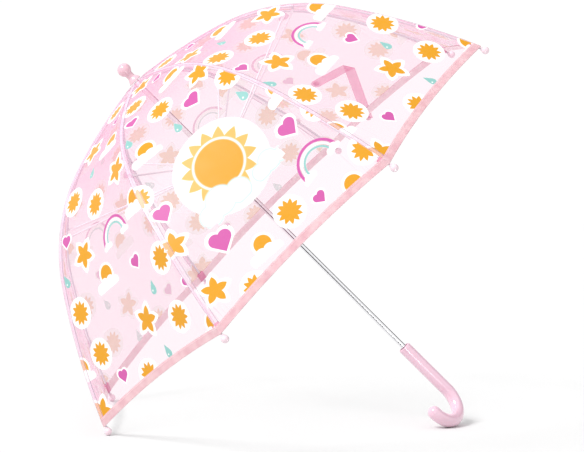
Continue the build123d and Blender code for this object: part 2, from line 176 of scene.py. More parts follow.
def folded_radius(reach, lift):
    """Distance from the shaft when the ribs are folded."""
    def turned(radius, height, centre, angle):
        c, s = math.cos(angle), math.sin(angle)
        dr, dh = radius - centre[0], height - centre[1]
        return centre[0] + dr * c + dh * s, centre[1] - dr * s + dh * c

    crown_pivot = (PIVOT_RADIUS, CROWN_HEIGHT)
    point = turned(*rib_at(reach, lift)[:2], crown_pivot, FOLD)
    if reach > FLEX_REACH:
        pivot = turned(*rib_at(FLEX_REACH)[:2], crown_pivot, FOLD)
        point = turned(*point, pivot, -FLEX)
    return float(point[0])


def gather(piece, start, end):
    """Give a piece its own mesh. How far the film would draw in as the umbrella folds is worked out but not
    used.
    """
    reach = (start + end) / 2
    radius, height, slope = (float(v) for v in rib_at(reach, FILM_INSIDE))
    keep = min(1.0, folded_radius(reach, FILM_INSIDE) / radius)
    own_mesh(piece)


def rib_body(rib, reach):
    """Name of the body that carries a rib at a reach."""
    return f"rib_{rib}" if reach < FLEX_REACH else f"rib_end_{rib}"


# ---- Meshes ---------------------------------------------------------------------------------------------


def new_piece(name, points, faces, materials, normals=None, choice=None, maps=None, values=None, rim=None):
    """Mesh object at the origin; normals are one per face corner, maps hold UVs and values one number a face.
    The edges of the quads from number rim on are sharp."""
    mesh = bpy.data.meshes.new(name)
    mesh.from_pydata([tuple(p) for p in place(points)], [], [tuple(int(i) for i in f) for f in faces])
    for material in materials:
        mesh.materials.append(material)
    if choice is not None:
        mesh.polygons.foreach_set("material_index", np.asarray(choice, np.int32))
    mesh.polygons.foreach_set("use_smooth", np.full(len(mesh.polygons), True))
    if rim is not None:
        corner_edges = np.empty(len(mesh.loops), np.int32)
        mesh.loops.foreach_get("edge_index", corner_edges)
        sharp = np.zeros(len(mesh.edges), bool)
        sharp[corner_edges[4 * rim:]] = True
        mesh.attributes.new("sharp_edge", "BOOLEAN", "EDGE").data.foreach_set("value", sharp)
    for key, corners in (maps or {}).items():
        layer = mesh.uv_layers.new(name=key)
        layer.data.foreach_set("uv", np.asarray(corners, np.float32).ravel())
    for key, numbers in (values or {}).items():
        layer = mesh.attributes.new(key, "FLOAT", "FACE")
        layer.data.foreach_set("value", np.asarray(numbers, np.float32))
    if normals is not None:
        mesh.normals_split_custom_set((np.asarray(normals) @ own_axes).tolist())
    piece = bpy.data.objects.new(name, mesh)
    bpy.context.scene.collection.objects.link(piece)
    return piece


def grid_faces(rows, columns):
    """Quads of a grid of points, and the loop of points round its border."""
    index = np.arange(rows * columns).reshape(rows, columns)
    quads = np.stack([index[:-1, :-1], index[1:, :-1], index[1:, 1:], index[:-1, 1:]], -1).reshape(-1, 4)
    border = np.concatenate([index[0, :-1], index[:-1, -1], index[-1, :0:-1], index[:0:-1, 0]])
    return quads, border


def shell(outside, inside, outward):
    """Closed shell between two grids of points, its corner normals and the number of faces in each part."""
    rows, columns = outside.shape[:2]
    count = rows * columns
    top, border = grid_faces(rows, columns)
    points = np.concatenate([outside.reshape(-1, 3), inside.reshape(-1, 3)])
    a, b, c = (points[top[0][i]] for i in range(3))
    turned = np.dot(np.cross(b - a, c - a), outward.reshape(-1, 3)[top[0][0]]) < 0
    if turned:
        top, border = top[:, ::-1], border[::-1]
    under = top[:, ::-1] + count
    following = np.roll(border, -1)
    rim = np.stack([following, border, border + count, following + count], -1)
    faces = np.concatenate([top, under, rim])
    flat = outward.reshape(-1, 3)
    edges = points[rim]
    across = np.cross(edges[:, 1] - edges[:, 0], edges[:, 2] - edges[:, 0])
    across /= np.maximum(np.linalg.norm(across, axis=1, keepdims=True), 1e-9)
    normals = np.concatenate([
        flat[top].reshape(-1, 3),
        -flat[under - count].reshape(-1, 3),
        np.repeat(across, 4, axis=0),
    ])
    return points, faces, normals, (len(top), len(under), len(rim))


# ---- Materials ------------------------------------------------------------------------------------------


def linear(code):
    """Linear colour with full alpha from an sRGB hex value."""
    parts = [int(code.lstrip("#")[i:i + 2], 16) / 255 for i in (0, 2, 4)]
    return tuple(c / 12.92 if c <= 0.04045 else ((c + 0.055) / 1.055) ** 2.4 for c in parts) + (1.0,)


def add(tree, kind, settings=None, links=None):
    """Add a node, set its properties, and set or link its inputs. A node as a link is its first output."""
    node = tree.nodes.new(kind)
    for name, value in (settings or {}).items():
        setattr(node, name, value)
    for key, value in (links or {}).items():
        if isinstance(value, bpy.types.Node):
            value = value.outputs[0]
        if isinstance(value, bpy.types.NodeSocket):
            tree.links.new(value, node.inputs[key])
        else:
            node.inputs[key].default_value = value
    return node


def new_material(name):
    """Empty node material and its tree."""
    material = bpy.data.materials.new(name)
    material.use_nodes = True
    material.node_tree.nodes.clear()
    return material, material.node_tree


# Kinds and settings of nodes that are used again and again.
MATH, VECTOR, SPLIT = "ShaderNodeMath", "ShaderNodeVectorMath", "ShaderNodeSeparateXYZ"
MIX, NOISE, RANGE, BUMP = "ShaderNodeMix", "ShaderNodeTexNoise", "ShaderNodeMapRange", "ShaderNodeBump"
COORDINATES, SURFACE, OUTPUT = "ShaderNodeTexCoord", "ShaderNodeBsdfPrincipled", "ShaderNodeOutputMaterial"
COLOURS = {"data_type": "RGBA"}
MINUS, TIMES, LARGER = ({"operation": name} for name in ("SUBTRACT", "MULTIPLY", "MAXIMUM"))
TIMES_PLUS = {"operation": "MULTIPLY_ADD"}
TIMES_CLAMPED = {"operation": "MULTIPLY", "use_clamp": True}

WHITE_INK, ORANGE_INK, MAGENTA_INK, MINT_INK = "#EFEFED", "#D89612", "#C4559E", "#88BDB8"
RAY_INK = "#E0AC55"
OUTLINE_INK = "#B9DAD6"
SUN, CLOUD, STAR, HEART, DROP, RAINBOW, BIG = range(1, 8)
NO_FLOOR = -2
EDGE_SHARPNESS = 30.0       # how fast ink sets in at a motif's edge, in units of one over the motif's size


def discs(*places, floor=NO_FLOOR, grow=0.0):
    """Discs at places (x, y, size)."""
    return tuple(("disc", x, y, size + grow, floor) for x, y, size in places)


PUFFS = (
    (-0.74, -0.54, 0.22), (-0.44, -0.44, 0.29), (-0.08, -0.55, 0.24),
    (0.42, -0.62, 0.17), (0.66, -0.56, 0.21), (0.9, -0.64, 0.14),
)
PUFFS_FLOOR, PUFFS_OUTLINE = -0.76, 0.03
RAINBOW_PUFFS = (
    (-0.8, -0.34, 0.2), (-0.56, -0.36, 0.16), (-0.98, -0.4, 0.13),
    (0.8, -0.34, 0.2), (0.56, -0.36, 0.16), (0.98, -0.4, 0.13),
)

# Each motif is painted from the back to the front: ink, then shapes in units of the motif's size. A disc, a
# cone and a diamond are (form, x, y, size, floor), a ring has its width too, and a star is (form, x, y,
# radius between its points, floor, points, radius at the points). Nothing of a shape shows below its floor.
MOTIFS = {
    SUN: (
        (WHITE_INK, discs((0, 0, 0.98))),
        (ORANGE_INK, (("star", 0, 0, 0.52, NO_FLOOR, 11, 0.78),)),
    ),
    CLOUD: (
        (WHITE_INK, discs((0.16, 0.26, 0.66))),
        (ORANGE_INK, discs((0.16, 0.26, 0.52))),
        (WHITE_INK, discs((-0.66, -0.3, 0.36), (-0.22, -0.2, 0.38), (0.3, -0.26, 0.4), (0.76, -0.36, 0.28),
                          floor=-0.56)),
    ),
    STAR: (
        (WHITE_INK, (("star", 0, 0, 0.66, NO_FLOOR, 5, 1.16),)),
        (ORANGE_INK, (("star", 0, 0, 0.42, NO_FLOOR, 5, 0.86),)),
    ),
    HEART: (
        (WHITE_INK, discs((-0.4, 0.4, 0.57), (0.4, 0.4, 0.57)) + (("diamond", 0, 0, 0.8, NO_FLOOR),)),
        (MAGENTA_INK, discs((-0.31, 0.33, 0.44), (0.31, 0.33, 0.44))
         + (("diamond", 0, 0.02, 0.62, NO_FLOOR),)),
    ),
    DROP: (
        (MINT_INK, discs((0, -0.3, 0.5)) + (("cone", 0, 0.95, 0.46, -0.1),)),
        (WHITE_INK, discs((-0.18, -0.3, 0.12))),
    ),
    RAINBOW: (
        (MAGENTA_INK, (("ring", 0, -0.3, 0.94, -0.3, 0.085),)),
        (WHITE_INK, (("ring", 0, -0.3, 0.79, -0.3, 0.065),)),
        (MINT_INK, (("ring", 0, -0.3, 0.66, -0.3, 0.065),)),
        (WHITE_INK, discs(*RAINBOW_PUFFS, floor=-0.5)),
    ),
    BIG: (
        (WHITE_INK, discs((0, 0.04, 0.95))),
        (RAY_INK, (("star", 0, 0.12, 0.56, NO_FLOOR, 14, 0.76),)),
        (WHITE_INK, discs((0, 0.12, 0.53))),
        (ORANGE_INK, discs((0, 0.12, 0.49))),
        (OUTLINE_INK, discs(*PUFFS, floor=PUFFS_FLOOR - PUFFS_OUTLINE, grow=PUFFS_OUTLINE)),
        (WHITE_INK, discs(*PUFFS, floor=PUFFS_FLOOR)),
    ),
}


def shape_depth(tree, spot, form, x, y, size, more):
    """How deep a place lies inside a shape, in units of the motif's size."""
    centred = add(tree, VECTOR, MINUS, {0: spot, 1: (x, y, 0)})
    if form == "diamond":
        sides = add(tree, VECTOR, {"operation": "ABSOLUTE"}, {0: centred})
        summed = add(tree, VECTOR, {"operation": "DOT_PRODUCT"}, {0: sides, 1: (1, 1, 0)})
        return add(tree, MATH, MINUS, {0: size, 1: summed.outputs["Value"]})
    if form == "cone":
        part = add(tree, SPLIT, None, {0: centred})
        half = add(tree, MATH, TIMES, {0: part.outputs[1], 1: -size})
        aside = add(tree, MATH, {"operation": "ABSOLUTE"}, {0: part})
        return add(tree, MATH, MINUS, {0: half, 1: aside})
    length = add(tree, VECTOR, {"operation": "LENGTH"}, {0: centred}).outputs["Value"]
    if form == "ring":
        off = add(tree, MATH, MINUS, {0: length, 1: size})
        width = add(tree, MATH, {"operation": "ABSOLUTE"}, {0: off})
        return add(tree, MATH, MINUS, {0: more[0], 1: width})
    if form == "star":
        points, point_radius = more
        part = add(tree, SPLIT, None, {0: centred})
        angle = add(tree, MATH, {"operation": "ARCTAN2"}, {0: part.outputs[1], 1: part})
        turn = add(tree, MATH, {"operation": "ADD"}, {0: angle, 1: 1.5 * math.pi})
        ray = add(tree, MATH, {"operation": "PINGPONG"}, {0: turn, 1: math.pi / points})
        size = add(tree, MATH, TIMES_PLUS, {0: ray, 1: (point_radius - size) * points / math.pi, 2: size})
    return add(tree, MATH, MINUS, {0: size, 1: length})


def print_group():
    """Node group that paints the motifs: ink colour and how far ink covers the film."""
    tree = bpy.data.node_groups.new("Screen print", "ShaderNodeTree")
    tree.interface.new_socket("Ink", in_out="OUTPUT", socket_type="NodeSocketColor")
    tree.interface.new_socket("Cover", in_out="OUTPUT", socket_type="NodeSocketFloat")
    spot = add(tree, "ShaderNodeUVMap", {"uv_map": "Print"})
    kind = add(tree, "ShaderNodeAttribute", {"attribute_name": "motif"})
    apart = add(tree, SPLIT, None, {0: spot})
    colour, cover = linear(WHITE_INK), None
    floors = {}
    for number, layers in MOTIFS.items():
        chosen = add(tree, MATH, {"operation": "COMPARE"}, {0: kind.outputs["Fac"], 1: float(number), 2: 0.4})
        for ink, shapes in layers:
            union = None
            for form, x, y, size, floor, *more in shapes:
                inside = shape_depth(tree, spot, form, x, y, size, more)
                shape = add(tree, MATH, TIMES_CLAMPED, {0: inside, 1: EDGE_SHARPNESS})
                if floor != NO_FLOOR:
                    if floor not in floors:
                        above = add(tree, MATH, MINUS, {0: apart.outputs[1], 1: floor})
                        floors[floor] = add(tree, MATH, TIMES_CLAMPED, {0: above, 1: EDGE_SHARPNESS})
                    shape = add(tree, MATH, TIMES, {0: shape, 1: floors[floor]})
                union = shape if union is None else add(tree, MATH, LARGER, {0: union, 1: shape})
            painted = add(tree, MATH, TIMES, {0: union, 1: chosen})
            colour = add(tree, MIX, COLOURS, {0: painted, 6: colour, 7: linear(ink)}).outputs[2]
            cover = painted if cover is None else add(tree, MATH, LARGER, {0: cover, 1: painted})
    add(tree, "NodeGroupOutput", None, {0: colour, 1: cover})
    return tree


FILM_TINT, EDGE_TINT, CREASE_TINT = 0.06, 0.38, 0.1     # how much film hides: flat on, edge on, in a crease
INK_HIDES, INK_HIDES_FROM_INSIDE = 0.97, 0.58
# From inside, the ink is mixed this far towards a pale peach: painted light coming through it.
INK_PAINTED_BACKLIGHT = 0.34            # how much paler the ink is from inside


def film_material(name, tint, print_tree, seen_from_behind):
    """Calendered clear PVC with a faint pink tint: deeper pink where it is seen edge on and where it creases.
    The ink lies on the outside and hides what is behind it. From inside it hides less, and its colour is
    mixed
    towards a pale peach: painted light coming through it."""
    material, tree = new_material(name)
    shown = add(tree, "ShaderNodeGroup", {"node_tree": print_tree})
    edge = add(tree, "ShaderNodeLayerWeight", None, {"Blend": 0.5})
    deeper = add(tree, MATH, {"operation": "POWER"}, {0: edge.outputs["Facing"], 1: 3.2})
    # Creases run down the panel, 4 mm apart and 70 mm long, and crowd in beside the welds and at the crown.
    spot = add(tree, "ShaderNodeUVMap", {"uv_map": "Film"})
    gore = add(tree, "ShaderNodeUVMap", {"uv_map": "Gore"})
    drawn = add(tree, "ShaderNodeMapping", None, {"Vector": spot, "Scale": (1.0, 0.06, 1.0)})
    lines = add(tree, NOISE, None, {"Vector": drawn, "Scale": 250.0, "Detail": 1.5})
    crease = add(tree, RANGE, None, {"Value": lines, "From Min": 0.56, "From Max": 0.7})
    parts = add(tree, SPLIT, None, {0: gore})
    beside = add(tree, RANGE, None, {"Value": parts, "From Min": 0.72, "From Max": 0.98})
    above = add(tree, RANGE, None, {"Value": parts.outputs[1], "From Min": 0.3, "From Max": 0.08})
    crowd = add(tree, MATH, LARGER, {0: beside, 1: above})
    folds = add(tree, MATH, TIMES, {0: crease, 1: crowd})
    clear = add(tree, MATH, TIMES_PLUS, {0: deeper, 1: EDGE_TINT, 2: FILM_TINT})
    clear = add(tree, MATH, TIMES_PLUS, {0: folds, 1: CREASE_TINT, 2: clear})
    ink, cover, hold = shown.outputs["Ink"], shown.outputs["Cover"], INK_HIDES
    if seen_from_behind:
        # From inside, the ink is mixed towards a pale peach: painted light coming through it.
        ink = add(tree, MIX, COLOURS, {0: INK_PAINTED_BACKLIGHT, 6: ink, 7: linear("#FFF3EC")}).outputs[2]
        hold = INK_HIDES_FROM_INSIDE
    else:
        sides = add(tree, "ShaderNodeNewGeometry")
        front = add(tree, MATH, MINUS, {0: 1.0, 1: sides.outputs["Backfacing"]})
        cover = add(tree, MATH, TIMES, {0: cover, 1: front})
    left = add(tree, MATH, MINUS, {0: hold, 1: clear})
    alpha = add(tree, MATH, TIMES_PLUS, {0: cover, 1: left, 2: clear})
    # Each colour counts by how much it hides, so that a motif's edge has no pink fringe.
    hidden = add(tree, MATH, TIMES, {0: cover, 1: hold})
    share = add(tree, MATH, {"operation": "DIVIDE", "use_clamp": True}, {0: hidden, 1: alpha})
    colour = add(tree, MIX, COLOURS, {0: share, 6: linear(tint), 7: ink})
    # Slow waves about 33 mm long, left by the calender rolls.
    waves = add(tree, NOISE, None, {"Vector": spot, "Scale": 30.0, "Detail": 2.0})
    bump = add(tree, BUMP, None, {"Strength": 0.3, "Distance": 0.0012, "Height": waves})
    rough = add(tree, MATH, TIMES_PLUS, {0: shown.outputs["Cover"], 1: 0.22, 2: 0.1})
    surface = add(tree, SURFACE, None, {
        "Base Color": colour.outputs[2], "Alpha": alpha, "Roughness": rough, "Normal": bump, "IOR": 1.53,
        "Specular IOR Level": 0.15,
    })
    add(tree, OUTPUT, None, {0: surface})
    return material


def cut_material():
    """A clean cut through clear PVC shows nothing. The strips meet there, and in life the film has no cut."""
    material, tree = new_material("Clear PVC, butted cut")
    surface = add(tree, SURFACE, None, {"Base Color": linear("#FFFFFF"), "Alpha": 0.0})
    add(tree, OUTPUT, None, {0: surface})
    return material


def soft_plastic(name, colour, alpha, roughness, mottle, scale_mm):
    """Flexible plastic with faint mottling of its colour and a soft leathery unevenness."""
    material, tree = new_material(name)
    spot = add(tree, COORDINATES).outputs["Object"]
    noise = add(tree, NOISE, None, {"Vector": spot, "Scale": 1000 / scale_mm, "Detail": 3.0})
    patch = add(tree, RANGE, None, {"Value": noise, "From Min": 0.36, "From Max": 0.64})
    shade = add(tree, MIX, COLOURS, {0: patch, 6: linear(colour), 7: linear(mottle)})
    edge = add(tree, "ShaderNodeLayerWeight", None, {"Blend": 0.4})
    # Seen edge on, it hides more of what is behind it.
    see = add(tree, MATH, {"operation": "MULTIPLY_ADD", "use_clamp": True},
              {0: edge.outputs["Facing"], 1: (1 - alpha) * 0.6, 2: alpha})
    bump = add(tree, BUMP, None, {"Strength": 0.2, "Distance": 0.0003, "Height": noise})
    surface = add(tree, SURFACE, None, {
        "Base Color": shade.outputs[2], "Roughness": roughness, "Alpha": see, "Normal": bump,
    })
    add(tree, OUTPUT, None, {0: surface})
    return material


def moulded_plastic(name, colour, shade, roughness, coat):
    """Moulded plastic: even colour, slow cloudiness from the melt, a fine mould texture and a glossy skin."""
    material, tree = new_material(name)
    spot = add(tree, COORDINATES).outputs["Object"]
    # The melt clouds over 26 mm. The mould's texture is drawn 0.7 mm coarse, so that it shows.
    melt = add(tree, NOISE, None, {"Vector": spot, "Scale": 38.0, "Detail": 2.0})
    skin = add(tree, NOISE, None, {"Vector": spot, "Scale": 1400.0, "Detail": 2.0})
    tone = add(tree, MIX, COLOURS, {0: melt, 6: linear(colour), 7: linear(shade)})
    rough = add(tree, MATH, TIMES_PLUS, {0: skin, 1: 0.1, 2: roughness - 0.05})
    bump = add(tree, BUMP, None, {"Strength": 0.03, "Distance": 0.0001, "Height": skin})
    surface = add(tree, SURFACE, None, {
        "Base Color": tone.outputs[2], "Roughness": rough, "Normal": bump, "IOR": 1.5,
        "Coat Weight": coat, "Coat Roughness": 0.15,
        "Subsurface Weight": 0.08, "Subsurface Radius": (0.006, 0.003, 0.003),
    })
    add(tree, OUTPUT, None, {0: surface})
    return material


def drawn_metal(name, colour, dark, roughness, scale_mm):
    """Metal with fine draw marks along its length."""
    material, tree = new_material(name)
    spot = add(tree, COORDINATES).outputs["Object"]
    # The shaft slopes, so the pattern is turned to run along it.
    lean = math.atan2(shaft_up.z, -shaft_up.x)
    turn = add(tree, "ShaderNodeMapping", {"vector_type": "TEXTURE"},
               {"Vector": spot, "Rotation": (0, lean, 0)})
    drawn = add(tree, "ShaderNodeMapping", None, {"Vector": turn, "Scale": (0.002, 1, 1)})
    marks = add(tree, NOISE, None, {"Vector": drawn, "Scale": 1000 / scale_mm, "Detail": 3.0})
    tone = add(tree, MIX, COLOURS, {0: marks, 6: linear(colour), 7: linear(dark)})
    rough = add(tree, MATH, TIMES_PLUS, {0: marks, 1: 0.02, 2: roughness - 0.01})
    surface = add(tree, SURFACE, None, {"Base Color": tone.outputs[2], "Metallic": 1.0, "Roughness": rough})
    add(tree, OUTPUT, None, {0: surface})
    return material


def finish_node(node, material):
    """Give a CAD piece its finish."""
    piece = frame["nodes"][node]
    piece.data.materials.clear()
    piece.data.materials.append(material)


# ---- Print layout: (kind, across in mm, reach in mm, size in mm, turn in degrees) ------------------------

EVERY_LAYOUT = (
    (SUN, 2, 62, 19, 10), (HEART, -20, 98, 9, -12), (STAR, 22, 126, 20, 6), (CLOUD, -28, 150, 22, 0),
    (DROP, 8, 172, 10, 12), (SUN, 50, 194, 21, 20), (STAR, -58, 208, 21, -8), (SUN, -2, 226, 21, 5),
    (HEART, 72, 244, 12, 14), (CLOUD, -84, 272, 23, 4), (RAINBOW, -30, 280, 28, -4), (STAR, 42, 276, 21, 12),
    (DROP, 90, 290, 11, -14), (SUN, 86, 336, 21, 8), (CLOUD, 16, 324, 23, 0), (HEART, -50, 334, 12, -10),
    (SUN, -98, 352, 21, 16), (CLOUD, 128, 402, 23, 4), (DROP, -62, 374, 11, 10), (STAR, -26, 400, 21, -6),
    (SUN, 80, 396, 21, 9), (HEART, 60, 438, 12, 10), (SUN, -84, 424, 21, 0), (HEART, -126, 398, 11, -16),
    (SUN, 14, 456, 21, 14), (STAR, 124, 456, 21, 4), (DROP, -36, 448, 11, -8), (CLOUD, -130, 462, 23, 7),
)
SHOWN_PANEL = 6             # the panel with the one large sun
SHOWN_LAYOUT = (
    (STAR, 0, 60, 18, 10), (HEART, 22, 92, 9, 12), (SUN, -24, 112, 20, -4), (CLOUD, 32, 136, 22, 0),
    (HEART, -40, 154, 12, -12), (SUN, -4, 180, 20, 16), (STAR, 60, 186, 20, 8), (DROP, -60, 188, 11, -10),
    (CLOUD, -54, 226, 22, -6), (HEART, 32, 218, 16, 14), (SUN, 82, 234, 20, 5), (DROP, -4, 232, 11, 0),
    (BIG, 0, 324, 66, 0), (SUN, -96, 274, 20, -10), (DROP, 76, 272, 12, 14), (CLOUD, 108, 306, 22, 6),
    (HEART, -88, 314, 16, -8), (STAR, -104, 352, 20, 12), (HEART, 86, 352, 17, 10), (SUN, 126, 356, 20, 0),
    (RAINBOW, 82, 402, 29, 8), (HEART, -62, 394, 20, -14), (DROP, -128, 390, 10, -8), (SUN, 18, 426, 21, 5),
    (CLOUD, -34, 436, 22, -4), (STAR, -106, 430, 20, 9), (HEART, 54, 442, 11, 6), (SUN, 128, 438, 20, 6),
    (SUN, -70, 462, 20, 14), (CLOUD, 88, 464, 22, 0), (HEART, -146, 462, 10, 0),
)


def print_layout(panel):
    """Motifs on a panel; every second panel has them the other way round."""
    if panel == SHOWN_PANEL:
        return SHOWN_LAYOUT
    flip = -1 if panel % 2 else 1
    return tuple((kind, flip * x, reach, size, flip * turn) for kind, x, reach, size, turn in EVERY_LAYOUT)


def print_maps(panel, faces, across_mm, reach):
    """For each face, its nearest motif and the corners' places in that motif's own units."""
    motifs = np.array(print_layout(panel), float)
    x, y = across_mm[faces], reach[faces]
    middle = np.stack([x.mean(1), y.mean(1)], -1)
    gap = np.linalg.norm(middle[:, None] - motifs[None, :, 1:3], axis=2) - motifs[None, :, 3]
    nearest = motifs[np.argmin(gap, axis=1)]
    turn = np.radians(nearest[:, 4])[:, None]
    dx, dy = x - nearest[:, 1:2], nearest[:, 2:3] - y
    local = np.stack([dx * np.cos(turn) + dy * np.sin(turn), dy * np.cos(turn) - dx * np.sin(turn)], -1)
    return (local / nearest[:, 3:4, None]).reshape(-1, 2), nearest[:, 0]


# ---- Settings -------------------------------------------------------------------------------------------

LENGTH = {"unit": "LENGTH", "subtype": "DISTANCE"}


class CanopySettings(bpy.types.PropertyGroup):
    film_thickness: FloatProperty(name="Film thickness", description="Thickness of the film as modelled",
                                  default=0.0003, min=0.0001, max=0.002, **LENGTH)
    film_sag: FloatProperty(name="Draw-in", description="How far a panel's middle is drawn in",
                            default=0.004, min=0.0, max=0.02, **LENGTH)
    cell: FloatProperty(name="Mesh cell", description="Size of one face of the film",
                        default=0.0065, min=0.003, max=0.02, **LENGTH)
    tint: StringProperty(name="Film tint", description="sRGB hex value of the pink film", default="#EE86B8")


class TrimSettings(bpy.types.PropertyGroup):
    hem_width: FloatProperty(name="Binding width", description="Width of the tape folded over the hem",
                             default=0.010, min=0.004, max=0.02, **LENGTH)
    seam_width: FloatProperty(name="Seam width", description="Width of the welded lap at each rib",
                              default=0.007, min=0.002, max=0.015, **LENGTH)
    stitch_pitch: FloatProperty(name="Stitch pitch", description="Distance from one stitch to the next",
                                default=0.0032, min=0.002, max=0.01, **LENGTH)
    strap_width: FloatProperty(name="Strap width", description="Width of the tie strap",
                               default=0.015, min=0.005, max=0.03, **LENGTH)
    binding: StringProperty(name="Binding colour", description="sRGB hex value of the folded tape",
                            default="#F6D2D7")
    moulding: StringProperty(name="Moulding colour", description="sRGB hex value of the handle",
                             default="#E7C6D3")


class StudioSettings(bpy.types.PropertyGroup):
    camera_place: FloatVectorProperty(name="Camera", description="Where the camera stands",
                                      default=(-0.162, -2.600, 0.425), unit="LENGTH", subtype="TRANSLATION")
    camera_turn: FloatVectorProperty(name="Camera turn", description="Turn of the camera about X, Y and Z",
                                     default=tuple(math.radians(a) for a in (86.282, -1.522, -4.192)),
                                     unit="ROTATION", subtype="EULER")
    lens: FloatProperty(name="Lens", default=123.3, description="Focal length in mm on a 36 mm sensor")
    key_power: FloatProperty(name="Key light", description="Strength of the broad key light", default=2.2)
    strip_glow: FloatProperty(name="Strip light", default=10.0,
                              description="Brightness of the narrow card that draws the highlights")
    surround: FloatProperty(name="Surround", default=1.03,
                            description="Brightness of the white surround as it shows")
    fill: FloatProperty(name="Fill", default=0.86,
                        description="Brightness of the surround as it lights the floor and the umbrella")
    floor_size: FloatProperty(name="Floor size", description="Width of the floor", default=9.0, **LENGTH)


# ---- Pieces ---------------------------------------------------------------------------------------------

SKIRT_CUT = 390.0
CUTS = (0.0, 70.0, 160.0, FLEX_REACH, SKIRT_CUT)


class UMBRELLA_OT_film(bpy.types.Operator):
    """Clear printed film: each panel is cut at its middle and in strips, each hung on the body of its rib"""
    bl_idname = "umbrella.film"
    bl_label = "Printed film canopy"

    def execute(self, context):
        settings = context.scene.umbrella_canopy
        thickness, sag, cell = settings.film_thickness * 1000, settings.film_sag * 1000, settings.cell * 1000
        print_tree = print_group()
        outer = film_material("Printed clear PVC film", settings.tint, print_tree, False)
        inner = film_material("Clear PVC film, back of the print, painted backlight", settings.tint, print_tree, True)
        cut = cut_material()
        spans = [(a, b) for a, b in zip(CUTS, CUTS[1:])] + [(SKIRT_CUT, None)]
        for rib in range(1, RIBS + 1):
            for side in (1, -1):
                panel, edge = panel_half(rib, side)
                for part, (start, end) in enumerate(spans, 1):
                    length = (end or HEM_REACH) - start
                    wide = float(rib_at(start + length)[0]) * HALF_CHORD
                    rows, columns = (max(3, round(size / cell)) + 1 for size in (length, wide))
                    across = np.linspace(0, edge, columns)[None, :].repeat(rows, 0)
                    foot = np.full_like(across, end) if end else hem_line(across)
                    reach = start + (foot - start) * np.linspace(0, 1, rows)[:, None]
                    layers = film_layers(panel, reach, across, FILM_INSIDE + thickness, FILM_INSIDE, sag)
                    points, faces, normals, counts = shell(*layers)
                    across_mm = np.tile((across * rib_at(reach)[0] * HALF_CHORD).ravel(), 2)
                    reach_mm = np.tile(reach.ravel(), 2)
                    local, kinds = print_maps(panel, faces, across_mm, reach_mm)
                    film_map = np.stack([across_mm[faces], reach_mm[faces]], -1).reshape(-1, 2) / 1000
                    beside = np.tile(np.abs(across).ravel(), 2)
                    gore_map = np.stack([beside[faces], reach_mm[faces] / HEM_REACH], -1).reshape(-1, 2)
                    kinds[-counts[2]:] = 0
                    piece = new_piece(
                        half_name("film", rib, side) + str(part), points, faces, (outer, inner, cut), normals,
                        np.repeat((0, 1, 2), counts), {"Print": local, "Film": film_map, "Gore": gore_map},
                        {"motif": kinds}, len(faces) - counts[2],
                    )
                    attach(piece, rib_body(rib, start + 1))
                    if part == 1 and side > 0:
                        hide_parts(f"canopy_panel_{panel}")
                    # Clear film lets the light through to the floor and to its far side.
                    piece.visible_shadow = piece.visible_diffuse = False
                    gather(piece, start, start + length)
        return {"FINISHED"}


LAP_START, LAP_END = 6.0, HEM_REACH - 0.5
LAP_FACE = 6                            # length of a lap's faces
LAP_OUTSIDE, LAP_INSIDE = FILM_INSIDE + 0.62, FILM_INSIDE + 0.36
RIDGE_LIFT = 0.22
RIDGE_POINTS, RIDGE_FACES = (1, 2, 3, 7), (1, 2, 6, 7)      # columns across a lap that make its two ridges


class UMBRELLA_OT_seams(bpy.types.Operator):
    """Welded laps where two panels meet over a rib"""
    bl_idname = "umbrella.seams"
    bl_label = "Welded seams"

    def execute(self, context):
        sag = context.scene.umbrella_canopy.film_sag * 1000
        width = context.scene.umbrella_trim.seam_width * 1000
        # Two layers of the film melted together: less clear than one. The raised ridge along each edge is
        # coloured dark grey-mauve: painted shade.
        lap = soft_plastic("Welded PVC lap", "#EFD3E3", 0.07, 0.2, "#EBC6DC", 9)
        ridge = soft_plastic("Melted PVC ridge, painted shade", "#9A8497", 0.34, 0.42, "#917A90", 5)
        # Columns of points at these distances from the rib's middle.
        offsets = (-1.0, -0.4, 0.0, 0.4, 1.2, 3.0, width - 1.6, width - 0.8, width - 0.1)
        for rib in range(1, RIBS + 1):
            for part, (start, end) in enumerate(((LAP_START, FLEX_REACH), (FLEX_REACH, LAP_END)), 1):
                reach = np.linspace(start, end, max(3, round((end - start) / LAP_FACE)) + 1)
                radius = rib_at(reach)[0] * HALF_CHORD
                columns = []
                for number, offset in enumerate(offsets):
                    panel, edge = panel_half(rib, 1 if offset >= 0 else -1)
                    # Near the crown a lap takes up no more than half of each panel's half.
                    across = edge * (1 - np.minimum(abs(offset), radius * 0.5) / radius)
                    over = LAP_OUTSIDE + (RIDGE_LIFT if number in RIDGE_POINTS else 0.0)
                    columns.append(film_layers(panel, reach, across, over, LAP_INSIDE, sag))
                points, faces, normals, counts = shell(*(np.stack(layer, 1) for layer in zip(*columns)))
                # Faces of the two ridges take the dark ridge colour: painted shade.
                stripe = np.isin(np.arange(counts[0]) % (len(offsets) - 1), RIDGE_FACES)
                choice = np.concatenate([stripe, np.zeros(counts[1] + counts[2], bool)])
                piece = new_piece(f"seam_{rib}_{part}", points, faces, (lap, ridge), normals, choice,
                                  rim=len(faces) - counts[2])
                piece.visible_shadow = piece.visible_diffuse = False
                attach(piece, rib_body(rib, start + 1))
        return {"FINISHED"}


TAPE_TOP, TAPE_FOOT = FILM_INSIDE + 0.95, FILM_INSIDE - 0.65    # lift of the tape's two outer faces
TAPE_WALL = 0.42
TAPE_LIP = (0.5, 0.25)      # how far from its edge, and how much, the tape's outside curls in
TURN_DEPTH = 0.9            # depth of the turn round the edge, as a share of a half circle's
TAPE_COLUMNS = 30
CUT_SPAN = 0.05             # how near a face lies to the panel's middle when it is the cut there
STITCH_INSET, STITCH_LIFT = 2.0, 0.12


